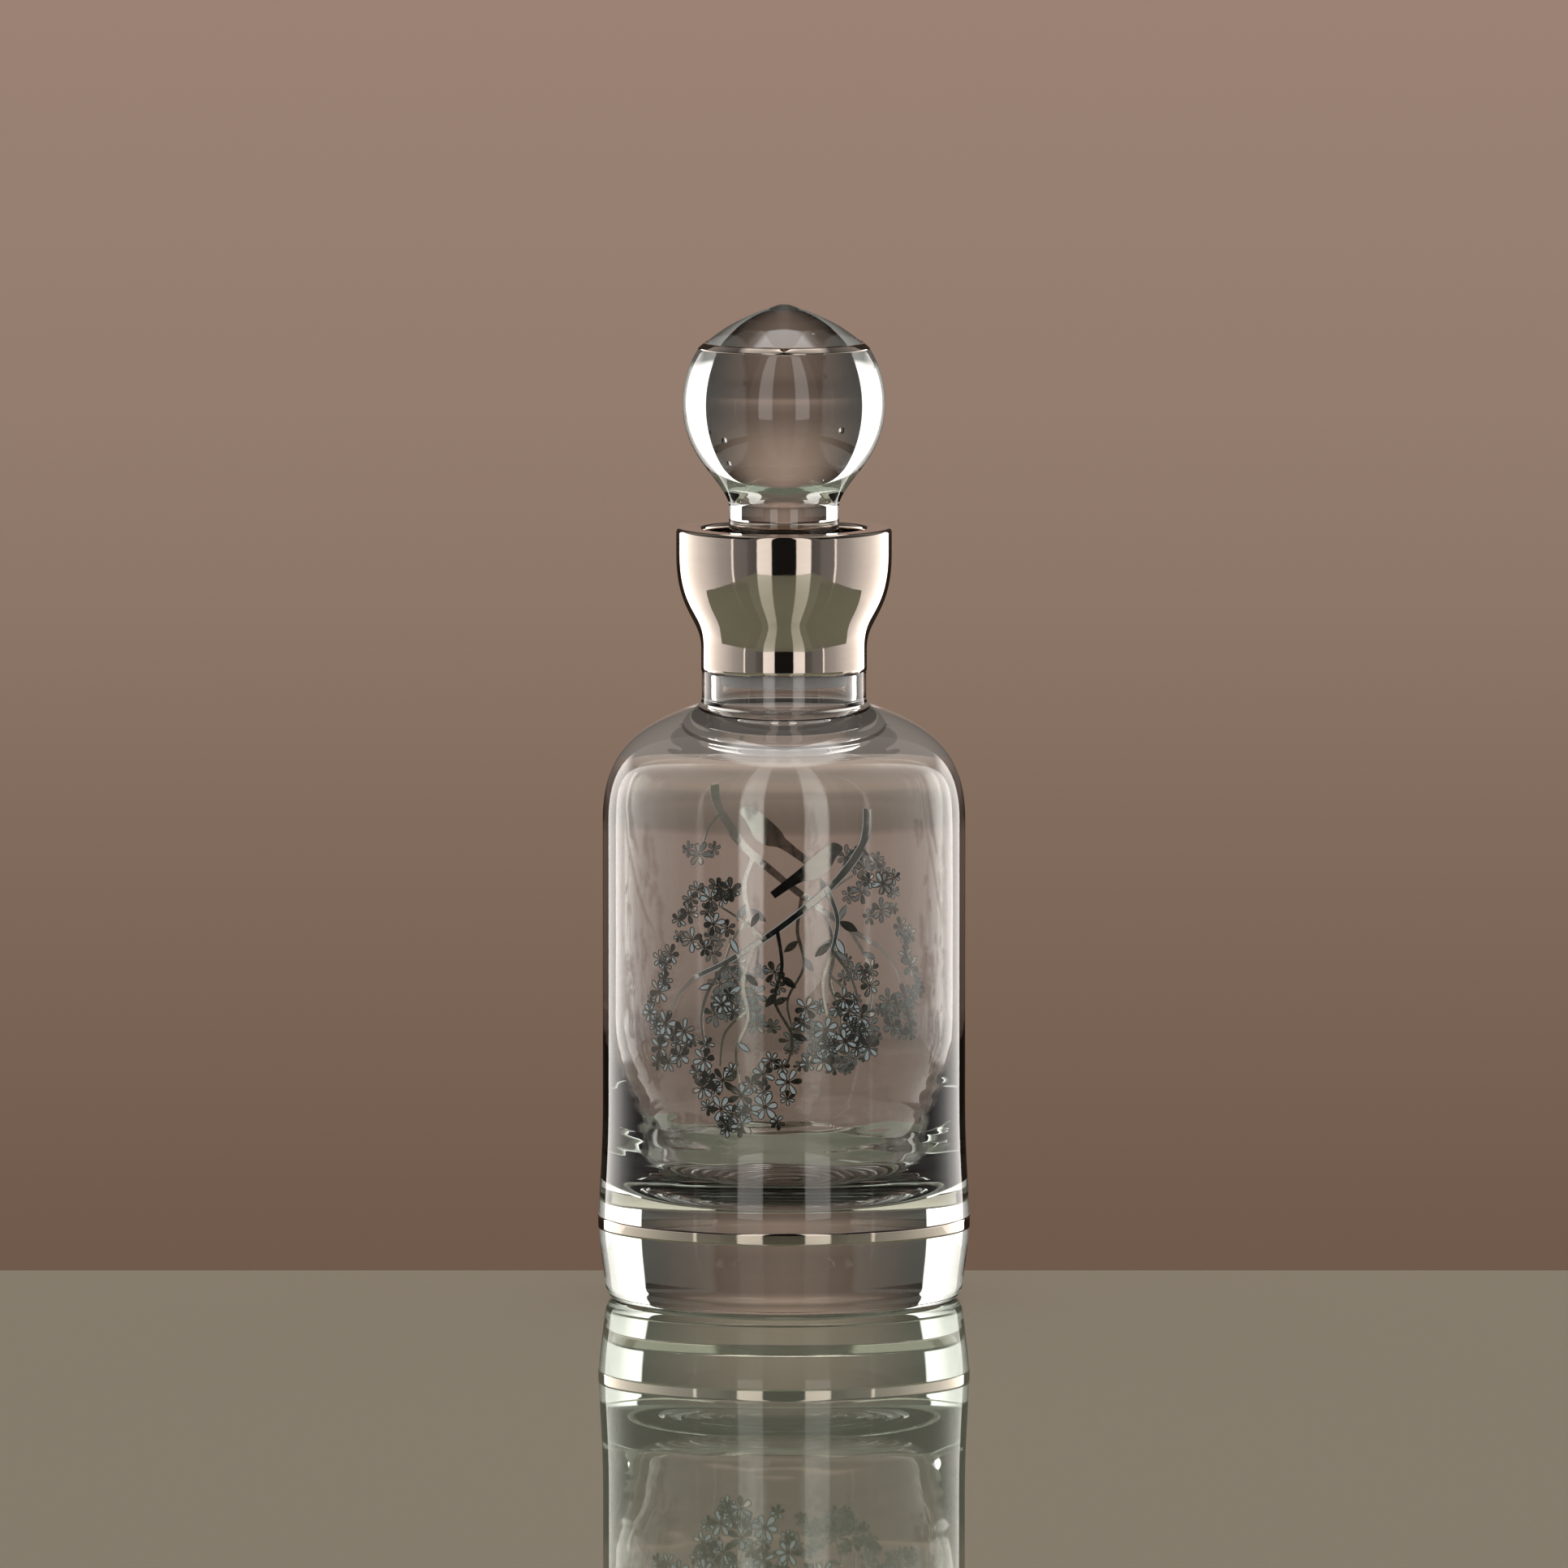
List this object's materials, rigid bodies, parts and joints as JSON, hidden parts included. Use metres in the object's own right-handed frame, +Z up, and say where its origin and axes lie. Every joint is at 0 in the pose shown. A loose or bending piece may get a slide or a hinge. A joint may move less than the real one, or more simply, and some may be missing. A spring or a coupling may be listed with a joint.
{
  "type": "stoppered perfume bottle",
  "caption": "Heavy clear glass perfume bottle with a ground-in ball stopper, mirror-metal collar, thin metal bands and a printed branch and bird motif.",
  "frame": {"origin": "centre of the bottle's foot, on the plane it stands on", "axes": "+Z up along the turning axis through the neck and ball, -Y towards the viewer (front print), +X to the viewer's right"},
  "size_m": [0.0746, 0.0746, 0.2],
  "materials": {
    "clear_glass": "clear, fire polished, faint grey-green, slight hand-made ripple",
    "stopper_glass": "clear solid glass with a few seeds; the tapered plug is ground matt",
    "platinum": "fired platinum lustre, mirror, brushed on by hand",
    "print_metal": "fired platinum print, dark outlines with paler etched insides"
  },
  "bodies": {
    "bottle": {"bottle_glass": "clear_glass", "collar_platinum": "platinum", "foot_band_platinum": "platinum", "front_bough": "print_metal", "front_twigs": "print_metal", "front_bird": "print_metal", "front_blossoms_upper": "print_metal", "front_blossoms_left": "print_metal", "front_blossoms_lower": "print_metal", "front_blossoms_right": "print_metal", "back_bough": "print_metal", "back_twigs": "print_metal", "back_bird": "print_metal", "back_blossoms_upper": "print_metal", "back_blossoms_left": "print_metal", "back_blossoms_lower": "print_metal", "back_blossoms_right": "print_metal"},
    "stopper": {"stopper_glass": "stopper_glass", "ball_band_platinum": "platinum"}
  },
  "joints": [
    {"name": "stopper_lift", "type": "slide", "parent": "bottle", "child": "stopper", "axis": [0, 0, 1], "range_m": [0, 0.06]}
  ]
}
